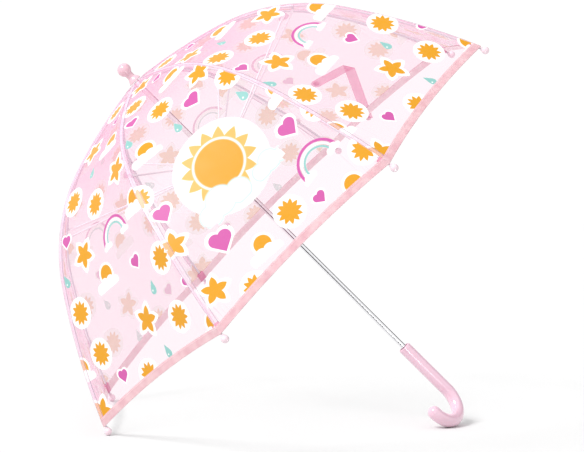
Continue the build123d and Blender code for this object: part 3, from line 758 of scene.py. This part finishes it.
def tape_section(width, wall, curl):
    """Section of a face of the folded tape: distance from the hem, down positive, and lift above the rib."""
    top, foot = TAPE_TOP - wall, TAPE_FOOT + wall
    middle, half = (TAPE_TOP + TAPE_FOOT) / 2, (TAPE_TOP - TAPE_FOOT) / 2
    turn = [((half * TURN_DEPTH - wall) * math.cos(a), middle + (half - wall) * math.sin(a))
            for a in np.linspace(math.pi / 2, -math.pi / 2, 7)]
    lip = TAPE_LIP[0] - width
    return [(-width, top - curl), (lip, top), (-width / 2, top), *turn,
            (-width / 2, foot), (lip, foot), (-width, foot + curl)]


class UMBRELLA_OT_binding(bpy.types.Operator):
    """Tape folded over the hem, with its row of stitches"""
    bl_idname = "umbrella.binding"
    bl_label = "Hem binding"

    def execute(self, context):
        settings = context.scene.umbrella_trim
        sag = context.scene.umbrella_canopy.film_sag * 1000
        width = settings.hem_width * 1000
        tape = soft_plastic("Folded PVC binding tape", settings.binding, 0.6, 0.34, "#EDBDC6", 11)
        # The tape's inner side is a lighter copy of the same tape: painted light coming through it.
        tape_painted_lighter = soft_plastic("Folded PVC binding tape, inner side painted lighter", "#FFE9EC", 0.7, 0.34, "#FBDCE2", 11)
        thread = soft_plastic("Polyester sewing thread", "#EFDCE0", 1.0, 0.6, "#E7CFD5", 1)
        cut = cut_material()
        stitches = stitch_tree(thread)
        sections = tape_section(width, 0.0, TAPE_LIP[1]), tape_section(width, TAPE_WALL, 0.0)
        for rib in range(1, RIBS + 1):
            for side in (1, -1):
                panel, edge = panel_half(rib, side)
                across = np.linspace(0, edge, TAPE_COLUMNS)
                hem = hem_line(across)
                outside, inside = (
                    np.stack([film_at(panel, hem + down, across, lift, sag) for down, lift in section])
                    for section in sections
                )
                outward = np.cross(np.gradient(outside, axis=0), np.gradient(outside, axis=1))
                outward /= np.linalg.norm(outward, axis=-1, keepdims=True)
                first = film_normal(panel, hem, across, FILM_INSIDE, sag)[len(across) // 2]
                if np.dot(outward[1, len(across) // 2], first) < 0:
                    outward = -outward
                points, faces, normals, counts = shell(outside, inside, outward)
                # The two halves of a panel's tape meet at its middle, where the cut shows nothing.
                ends = np.abs(np.mean(points[faces[-counts[2]:]], 1) @ around(RIB_TURN * panel)[1]) < CUT_SPAN
                strip = np.arange(counts[0]) // (len(across) - 1)
                # Strips on the inner side of the fold take the lighter copy of the tape: painted light.
                painted_lighter_strips = np.where(strip >= len(sections[0]) // 2, 2, 0)
                choice = np.concatenate([painted_lighter_strips, painted_lighter_strips, ends])
                piece = new_piece(half_name("binding", rib, side), points, faces, (tape, cut, tape_painted_lighter),
                                  normals, choice, rim=len(faces) - counts[2])
                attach(piece, f"rib_end_{rib}")
                if side > 0:
                    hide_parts(f"hem_tape_{panel}")
                gather(piece, SKIRT_CUT, HEM_REACH)
                line = film_at(panel, hem - width + STITCH_INSET, across, TAPE_TOP + STITCH_LIFT, sag)
                row = stitch_row(half_name("stitches", rib, side), line, stitches, settings.stitch_pitch)
                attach(row, f"rib_end_{rib}")
                gather(row, SKIRT_CUT, HEM_REACH)
        return {"FINISHED"}


def stitch_tree(thread):
    """Geometry nodes that lay short stitches along a line."""
    tree = bpy.data.node_groups.new("Stitch row", "GeometryNodeTree")
    tree.interface.new_socket("Geometry", in_out="INPUT", socket_type="NodeSocketGeometry")
    for name, default in (("Pitch", 0.0032), ("Thread", 0.00022)):
        socket = tree.interface.new_socket(name, in_out="INPUT", socket_type="NodeSocketFloat")
        socket.default_value = default
    tree.interface.new_socket("Geometry", in_out="OUTPUT", socket_type="NodeSocketGeometry")
    given = add(tree, "NodeGroupInput")
    pitch = given.outputs["Pitch"]
    line = add(tree, "GeometryNodeMeshToCurve", None, {0: given})
    spots = add(tree, "GeometryNodeCurveToPoints", {"mode": "LENGTH"}, {"Curve": line, "Length": pitch})
    # A stitch takes up this share of its pitch, and the gap to the next one the rest.
    long = add(tree, MATH, TIMES, {0: pitch, 1: 0.62})
    bead = add(tree, "GeometryNodeMeshCylinder", None, {
        "Vertices": 6, "Radius": given.outputs["Thread"], "Depth": long,
    })
    laid = add(tree, "GeometryNodeInstanceOnPoints", None, {
        "Points": spots, "Instance": bead, "Rotation": spots.outputs["Rotation"],
    })
    real = add(tree, "GeometryNodeRealizeInstances", None, {0: laid})
    dressed = add(tree, "GeometryNodeSetMaterial", None, {0: real, "Material": thread})
    add(tree, "NodeGroupOutput", None, {0: dressed})
    return tree


def stitch_row(name, line, tree, pitch):
    """Row of stitches along points in the umbrella's own frame, as a plain mesh."""
    mesh = bpy.data.meshes.new(name)
    mesh.from_pydata([tuple(p) for p in place(line)], [(i, i + 1) for i in range(len(line) - 1)], [])
    guide = bpy.data.objects.new(name + "_guide", mesh)
    bpy.context.scene.collection.objects.link(guide)
    modifier = guide.modifiers.new("Stitches", "NODES")
    modifier.node_group = tree
    for item in tree.interface.items_tree:
        if item.in_out == "INPUT" and item.name == "Pitch":
            modifier[item.identifier] = float(pitch)
    bpy.context.view_layer.update()
    evaluated = guide.evaluated_get(bpy.context.evaluated_depsgraph_get())
    row = bpy.data.objects.new(name, bpy.data.meshes.new_from_object(evaluated))
    bpy.context.scene.collection.objects.link(row)
    bpy.data.objects.remove(guide)
    return row


def tube_faces(rings, sides, first=0):
    """Quads of a tube of points, ring after ring."""
    faces = []
    for ring in range(rings - 1):
        for i in range(sides):
            a, b = (first + ring * sides + corner for corner in (i, (i + 1) % sides))
            faces.append((a, b, b + sides, a + sides))
    return faces


POCKET_REACH = (458.5, 470.5)
POCKET_HALF = (5.6, 2.0)            # half its width and half its height
POCKET_WALL = 0.35
POCKET_SQUARE = 0.7                 # below 1 its section is fuller than an ellipse
POCKET_DROOP = 0.12                 # how much its sides fall away
POCKET_RINGS, POCKET_SIDES = 7, 24


class UMBRELLA_OT_pockets(bpy.types.Operator):
    """Small pockets inside the hem that hold the rib ends"""
    bl_idname = "umbrella.pockets"
    bl_label = "Tip pockets"

    def execute(self, context):
        vinyl = soft_plastic("Doubled PVC pocket", "#E497B1", 0.8, 0.3, "#DC88A6", 6)
        angle = np.linspace(0, math.tau, POCKET_SIDES + 1)[:-1]
        for rib in range(1, RIBS + 1):
            out, along = around(RIB_TURN * (rib - 0.5))
            points = []
            for wall in (0.0, POCKET_WALL):
                for at in np.linspace(*POCKET_REACH, POCKET_RINGS):
                    radius, height, slope = (float(v) for v in rib_at(at))
                    normal = math.cos(slope) * out + math.sin(slope) * UP
                    centre = radius * out + height * UP
                    for a in angle:
                        bow = np.sign(math.cos(a)) * abs(math.cos(a)) ** POCKET_SQUARE
                        beside = (POCKET_HALF[0] - wall) * bow
                        lift = (POCKET_HALF[1] - wall) * math.sin(a) - POCKET_DROOP * abs(beside)
                        points.append(centre + normal * lift + along * beside)
            count = POCKET_RINGS * POCKET_SIDES
            faces = []
            for a, b, c, d in tube_faces(POCKET_RINGS, POCKET_SIDES):
                faces += [(a, b, c, d), (a + count, d + count, c + count, b + count)]
            last = count - POCKET_SIDES
            for i in range(POCKET_SIDES):
                j = (i + 1) % POCKET_SIDES
                faces.append((j, i, i + count, j + count))
                faces.append((last + i, last + j, last + j + count, last + i + count))
            piece = new_piece(f"tip_pocket_{rib}", points, faces, (vinyl,))
            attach(piece, f"rib_end_{rib}")
        return {"FINISHED"}


STRAP_ROUTE = ((49.0, 471.0), (-25.0, 384.0), (34.0, 369.0))    # across and reach of its root, fold and end
STRAP_PANEL = 1
STRAP_COLUMNS, STRAP_ROWS = 9, 26
STRAP_LIFT, STRAP_FOLD_LIFT = 1.5, 0.7      # of the middle of the lower leg, and of the upper one above it
STRAP_WAVES, STRAP_WAVE_LIFT = 2.2, 0.5     # waves along a leg, and their height
STRAP_PINCH = 0.35                          # how far each leg bends towards the other at the fold
STRAP_TOP, STRAP_UNDER = 0.3, -0.1          # the two faces of the film, from its line
# Section of a domed snap, from its base up: radius and lift.
STUD_PROFILE = (
    (4.5, 0.0), (4.5, 0.8), (4.25, 1.1), (3.7, 1.15), (3.4, 1.35), (2.6, 1.75), (1.5, 1.95), (0.4, 2.02),
)
STUD_BASES = (2.0, 2.7)                     # lift of the lower and the upper snap
STUD_SIDES = 28


class UMBRELLA_OT_strap(bpy.types.Operator):
    """Tie strap with its two snaps, folded once and lying on the outside of a far panel"""
    bl_idname = "umbrella.strap"
    bl_label = "Tie strap"

    def execute(self, context):
        sag = context.scene.umbrella_canopy.film_sag * 1000
        half = context.scene.umbrella_trim.strap_width * 500
        vinyl = soft_plastic("Tinted PVC strap", "#F0A6C0", 0.3, 0.3, "#EC9CB8", 12)
        root, fold, end = (np.array(p) for p in STRAP_ROUTE)
        ahead, back = (fold - root) / np.linalg.norm(fold - root), (end - fold) / np.linalg.norm(end - fold)
        crease = (ahead + back) / np.linalg.norm(ahead + back)
        square = np.array([-crease[1], crease[0]])
        along = np.linspace(0, 1, STRAP_ROWS)[None, :].repeat(STRAP_COLUMNS, 0)
        pieces = []
        for origin, toward, upper in ((root, ahead, False), (end, -back, True)):
            side = np.array([-toward[1], toward[0]])
            reach_to = np.dot(fold - origin, toward)
            rows = []
            for offset in np.linspace(-half, half, STRAP_COLUMNS):
                stop = reach_to - offset * np.dot(side, square) / np.dot(toward, square)
                # The loose end is rounded.
                begin = -math.sqrt(max(half ** 2 - offset ** 2, 0)) if upper else 0.0
                run = np.linspace(begin, stop, STRAP_ROWS)[:, None]
                rows.append(origin + toward * run + side * offset)
            flat = np.array(rows)
            reach = flat[..., 1]
            lift = FILM_INSIDE + STRAP_LIFT + (STRAP_FOLD_LIFT if upper else 0.0)
            lift = lift + STRAP_WAVE_LIFT * np.sin(along * math.pi * STRAP_WAVES) ** 2
            lift = lift + (-STRAP_PINCH if upper else STRAP_PINCH) * along ** 6
            across = flat[..., 0] / (rib_at(reach)[0] * HALF_CHORD)
            layers = film_layers(STRAP_PANEL, reach, across, lift + STRAP_TOP, lift + STRAP_UNDER, sag)
            points, faces, normals, counts = shell(*layers)
            piece = new_piece(f"strap_leg_{len(pieces) + 1}", points, faces, (vinyl,), normals,
                              rim=len(faces) - counts[2])
            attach(piece, "rib_end_1")
            gather(piece, SKIRT_CUT, HEM_REACH)
            pieces.append((piece, np.linalg.norm(fold - origin) + (half if upper else 0)))
        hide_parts("tie_strap")
        rose = moulded_plastic("Injection-moulded snap stud, rose", "#EAC0CC", "#E6B6C4", 0.2, 0.7)
        points, faces = [], []
        for (across, reach), base in zip(STRAP_ROUTE[::2], STUD_BASES):
            spot = np.array([reach]), np.array([across / (float(rib_at(reach)[0]) * HALF_CHORD)])
            centre = film_at(STRAP_PANEL, *spot, FILM_INSIDE + base, sag)[0]
            normal = film_normal(STRAP_PANEL, *spot, FILM_INSIDE, sag)[0]
            aside = np.cross(normal, UP)
            aside /= np.linalg.norm(aside)
            beside = np.cross(normal, aside)
            first = len(points)
            for radius, lift in STUD_PROFILE:
                for turn in np.linspace(0, math.tau, STUD_SIDES + 1)[:-1]:
                    rim = radius * (aside * math.cos(turn) + beside * math.sin(turn))
                    points.append(centre + normal * lift + rim)
            faces += tube_faces(len(STUD_PROFILE), STUD_SIDES, first)
            faces.append(tuple(first + i for i in reversed(range(STUD_SIDES))))
            faces.append(tuple(len(points) - STUD_SIDES + i for i in range(STUD_SIDES)))
        studs = new_piece("strap_snaps", points, faces, (rose,))
        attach(studs, "rib_end_1")
        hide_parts("strap_stud")
        gather(studs, SKIRT_CUT, HEM_REACH)
        return {"FINISHED"}


class UMBRELLA_OT_frame(bpy.types.Operator):
    """Finishes of the ribs, stretchers, shaft, runner, catches and crown"""
    bl_idname = "umbrella.frame"
    bl_label = "Frame finishes"

    def execute(self, context):
        glass = moulded_plastic("Pultruded glass fibre, frosted white", "#DAD3DA", "#CFC6CF", 0.3, 0.3)
        slim = moulded_plastic("Pultruded glass fibre, white", "#EBE3E8", "#E2D8DF", 0.32, 0.25)
        acetal = moulded_plastic("Injection-moulded acetal, white", "#F6F3F4", "#EEEAEC", 0.3, 0.3)
        tube = drawn_metal("Bright nickel-plated steel tube", "#F4F4F6", "#ECECEF", 0.11, 0.25)
        spring = drawn_metal("Blued spring steel", "#A8A8AC", "#8E8E94", 0.34, 0.2)
        finish_node("shaft", tube)
        for node in ("crown_notch", "runner"):
            finish_node(node, acetal)
        for node in ("crown_wire", "runner_wire", "top_catch", "bottom_catch"):
            finish_node(node, spring)
        for rib in range(1, RIBS + 1):
            finish_node(f"rib_{rib}", glass)
            finish_node(f"rib_end_{rib}", glass)
            finish_node(f"stretcher_{rib}", slim)
        return {"FINISHED"}


class UMBRELLA_OT_mouldings(bpy.types.Operator):
    """Finishes of the handle, ferrule and ball tips"""
    bl_idname = "umbrella.mouldings"
    bl_label = "Pink mouldings"

    def execute(self, context):
        colour = context.scene.umbrella_trim.moulding
        pink = moulded_plastic("Injection-moulded ABS, gloss pink", colour, "#E3B9CC", 0.16, 0.9)
        rose = moulded_plastic("Injection-moulded ABS, rose", "#EAC0CC", "#E6B6C4", 0.2, 0.7)
        pale = moulded_plastic("Injection-moulded ABS, pale pink", "#EFD8E0", "#E9CFD9", 0.2, 0.6)
        finish_node("handle", pink)
        finish_node("ferrule", rose)
        for rib in range(1, RIBS + 1):
            finish_node(f"rib_tip_{rib}", pale)
        return {"FINISHED"}


CARD_CORNERS = ((-1, -1), (1, -1), (1, 1), (-1, 1))
CAMERA_SENSOR = 36
KEY_PLACE, KEY_AIM = Vector((-1.3, -0.9, 2.0)), Vector((0.05, 0, 0.2))
KEY_SPREAD = 22             # width of the key light as the umbrella sees it, in degrees
STRIP_PLACE, STRIP_HALF = (0.29, -0.8, 0.02), (0.07, 0.475)
# Black cards beside the shaft: angle round it from the front, half width, distance from it, half length, and
# how far down the shaft from the crown the middle is. The near one ends at the handle's mouth, so that the
# handle still mirrors the strip light.
BLACK_CARDS = ((-26, 0.048, 0.15, 0.21, 0.32), (112, 1.5, 3.4, 1.8, 0.38))


def studio_card(name, corners, material):
    """A flat sheet of the studio, with its corners in turn."""
    mesh = bpy.data.meshes.new(name)
    mesh.from_pydata([tuple(corner) for corner in corners], [], [(0, 1, 2, 3)])
    mesh.materials.append(material)
    card = bpy.data.objects.new(name, mesh)
    bpy.context.scene.collection.objects.link(card)
    return card


def mirrored_card(name, corners, material):
    """A card of the studio that only glossy surfaces show."""
    card = studio_card(name, corners, material)
    card.visible_camera = card.visible_diffuse = card.visible_transmission = card.visible_shadow = False


class UMBRELLA_OT_studio(bpy.types.Operator):
    """White floor, soft light and camera"""
    bl_idname = "umbrella.studio"
    bl_label = "Studio"

    def execute(self, context):
        settings = context.scene.umbrella_studio
        scene = context.scene
        scene.view_settings.view_transform = "Standard"
        # Light passes through many layers of film.
        scene.cycles.transparent_max_bounces = 48
        scene.cycles.max_bounces = 16
        paper, tree = new_material("Matt white paper sweep")
        spot = add(tree, COORDINATES).outputs["Object"]
        pulp = add(tree, NOISE, None, {"Vector": spot, "Scale": 300.0, "Detail": 2.0})
        tone = add(tree, MIX, COLOURS, {0: pulp, 6: linear("#DEDEDE"), 7: linear("#E0E0E0")})
        surface = add(tree, SURFACE, None, {
            "Base Color": tone.outputs[2], "Roughness": 0.9, "Specular IOR Level": 0.0,
        })
        add(tree, OUTPUT, None, {0: surface})
        half = settings.floor_size / 2
        studio_card("studio_floor", [(half * a, half * b, 0) for a, b in CARD_CORNERS], paper)
        world = bpy.data.worlds.new("White surround")
        world.use_nodes = True
        tree = world.node_tree
        tree.nodes.clear()
        # The surround lights matt surfaces less than it shows, so that the key light shapes them.
        path = add(tree, "ShaderNodeLightPath")
        level = add(tree, MATH, TIMES_PLUS, {
            0: path.outputs["Is Diffuse Ray"], 1: settings.fill - settings.surround, 2: settings.surround,
        })
        glow = add(tree, "ShaderNodeBackground", None, {0: (1, 1, 1, 1), 1: level})
        add(tree, "ShaderNodeOutputWorld", None, {0: glow})
        scene.world = world
        sun = bpy.data.lights.new("studio_key", "SUN")
        sun.energy, sun.angle = settings.key_power, math.radians(KEY_SPREAD)
        key = bpy.data.objects.new("studio_key", sun)
        key.location = KEY_PLACE
        key.rotation_euler = (KEY_PLACE - KEY_AIM).to_track_quat("Z", "Y").to_euler()
        scene.collection.objects.link(key)
        # A lit strip on the floor before the umbrella, which only gloss shows.
        lit, tree = new_material("Lit softbox cloth")
        cloth = add(tree, "ShaderNodeEmission", None, {0: (1, 1, 1, 1), 1: settings.strip_glow})
        add(tree, OUTPUT, None, {0: cloth})
        (x, y, z), (wide, long) = STRIP_PLACE, STRIP_HALF
        mirrored_card("studio_strip", [(x + wide * a, y + long * b, z) for a, b in CARD_CORNERS], lit)
        # Black cards outside the view, which the bright tube mirrors as dark lines along its length.
        black, tree = new_material("Black card")
        card = add(tree, SURFACE, None, {
            "Base Color": linear("#060606"), "Roughness": 1.0, "Specular IOR Level": 0.0,
        })
        add(tree, OUTPUT, None, {0: card})
        sideways = Vector((shaft_up.z, 0, -shaft_up.x))
        for number, (angle, width, away, length, down) in enumerate(BLACK_CARDS, 1):
            toward = Vector((0, -math.cos(math.radians(angle)), 0)) + sideways * math.sin(math.radians(angle))
            beside = shaft_up.cross(toward).normalized()
            centre = crown - shaft_up * down + toward * away
            corners = [centre + shaft_up * (length * a) + beside * (width * b) for a, b in CARD_CORNERS]
            mirrored_card(f"studio_card_{number}", corners, black)
        data = bpy.data.cameras.new("studio_camera")
        data.lens, data.sensor_width = settings.lens, CAMERA_SENSOR
        camera = bpy.data.objects.new("studio_camera", data)
        camera.location = settings.camera_place
        camera.rotation_euler = settings.camera_turn
        scene.collection.objects.link(camera)
        scene.camera = camera
        return {"FINISHED"}


class UMBRELLA_PT_panel(bpy.types.Panel):
    bl_label = "Clear dome umbrella"
    bl_idname = "UMBRELLA_PT_panel"
    bl_space_type = "VIEW_3D"
    bl_region_type = "UI"
    bl_category = "Umbrella"

    def draw(self, context):
        for group in SETTINGS:
            settings = getattr(context.scene, group)
            box = self.layout.box()
            for name in type(settings).__annotations__:
                box.prop(settings, name)
        for operator in OPERATORS:
            self.layout.operator(operator.bl_idname)


SETTINGS = {
    "umbrella_canopy": CanopySettings,
    "umbrella_trim": TrimSettings,
    "umbrella_studio": StudioSettings,
}
OPERATORS = (
    UMBRELLA_OT_film, UMBRELLA_OT_seams, UMBRELLA_OT_binding, UMBRELLA_OT_pockets, UMBRELLA_OT_strap,
    UMBRELLA_OT_frame, UMBRELLA_OT_mouldings, UMBRELLA_OT_studio,
)


def register():
    for name, settings in SETTINGS.items():
        bpy.utils.register_class(settings)
        setattr(bpy.types.Scene, name, PointerProperty(type=settings))
    for operator in OPERATORS:
        bpy.utils.register_class(operator)
    bpy.utils.register_class(UMBRELLA_PT_panel)


def unregister():
    bpy.utils.unregister_class(UMBRELLA_PT_panel)
    for operator in reversed(OPERATORS):
        bpy.utils.unregister_class(operator)
    for name, settings in SETTINGS.items():
        delattr(bpy.types.Scene, name)
        bpy.utils.unregister_class(settings)


def main():
    register()
    for operator in OPERATORS:
        group, name = operator.bl_idname.split(".")
        getattr(getattr(bpy.ops, group), name)()


if __name__ == "__main__":
    main()
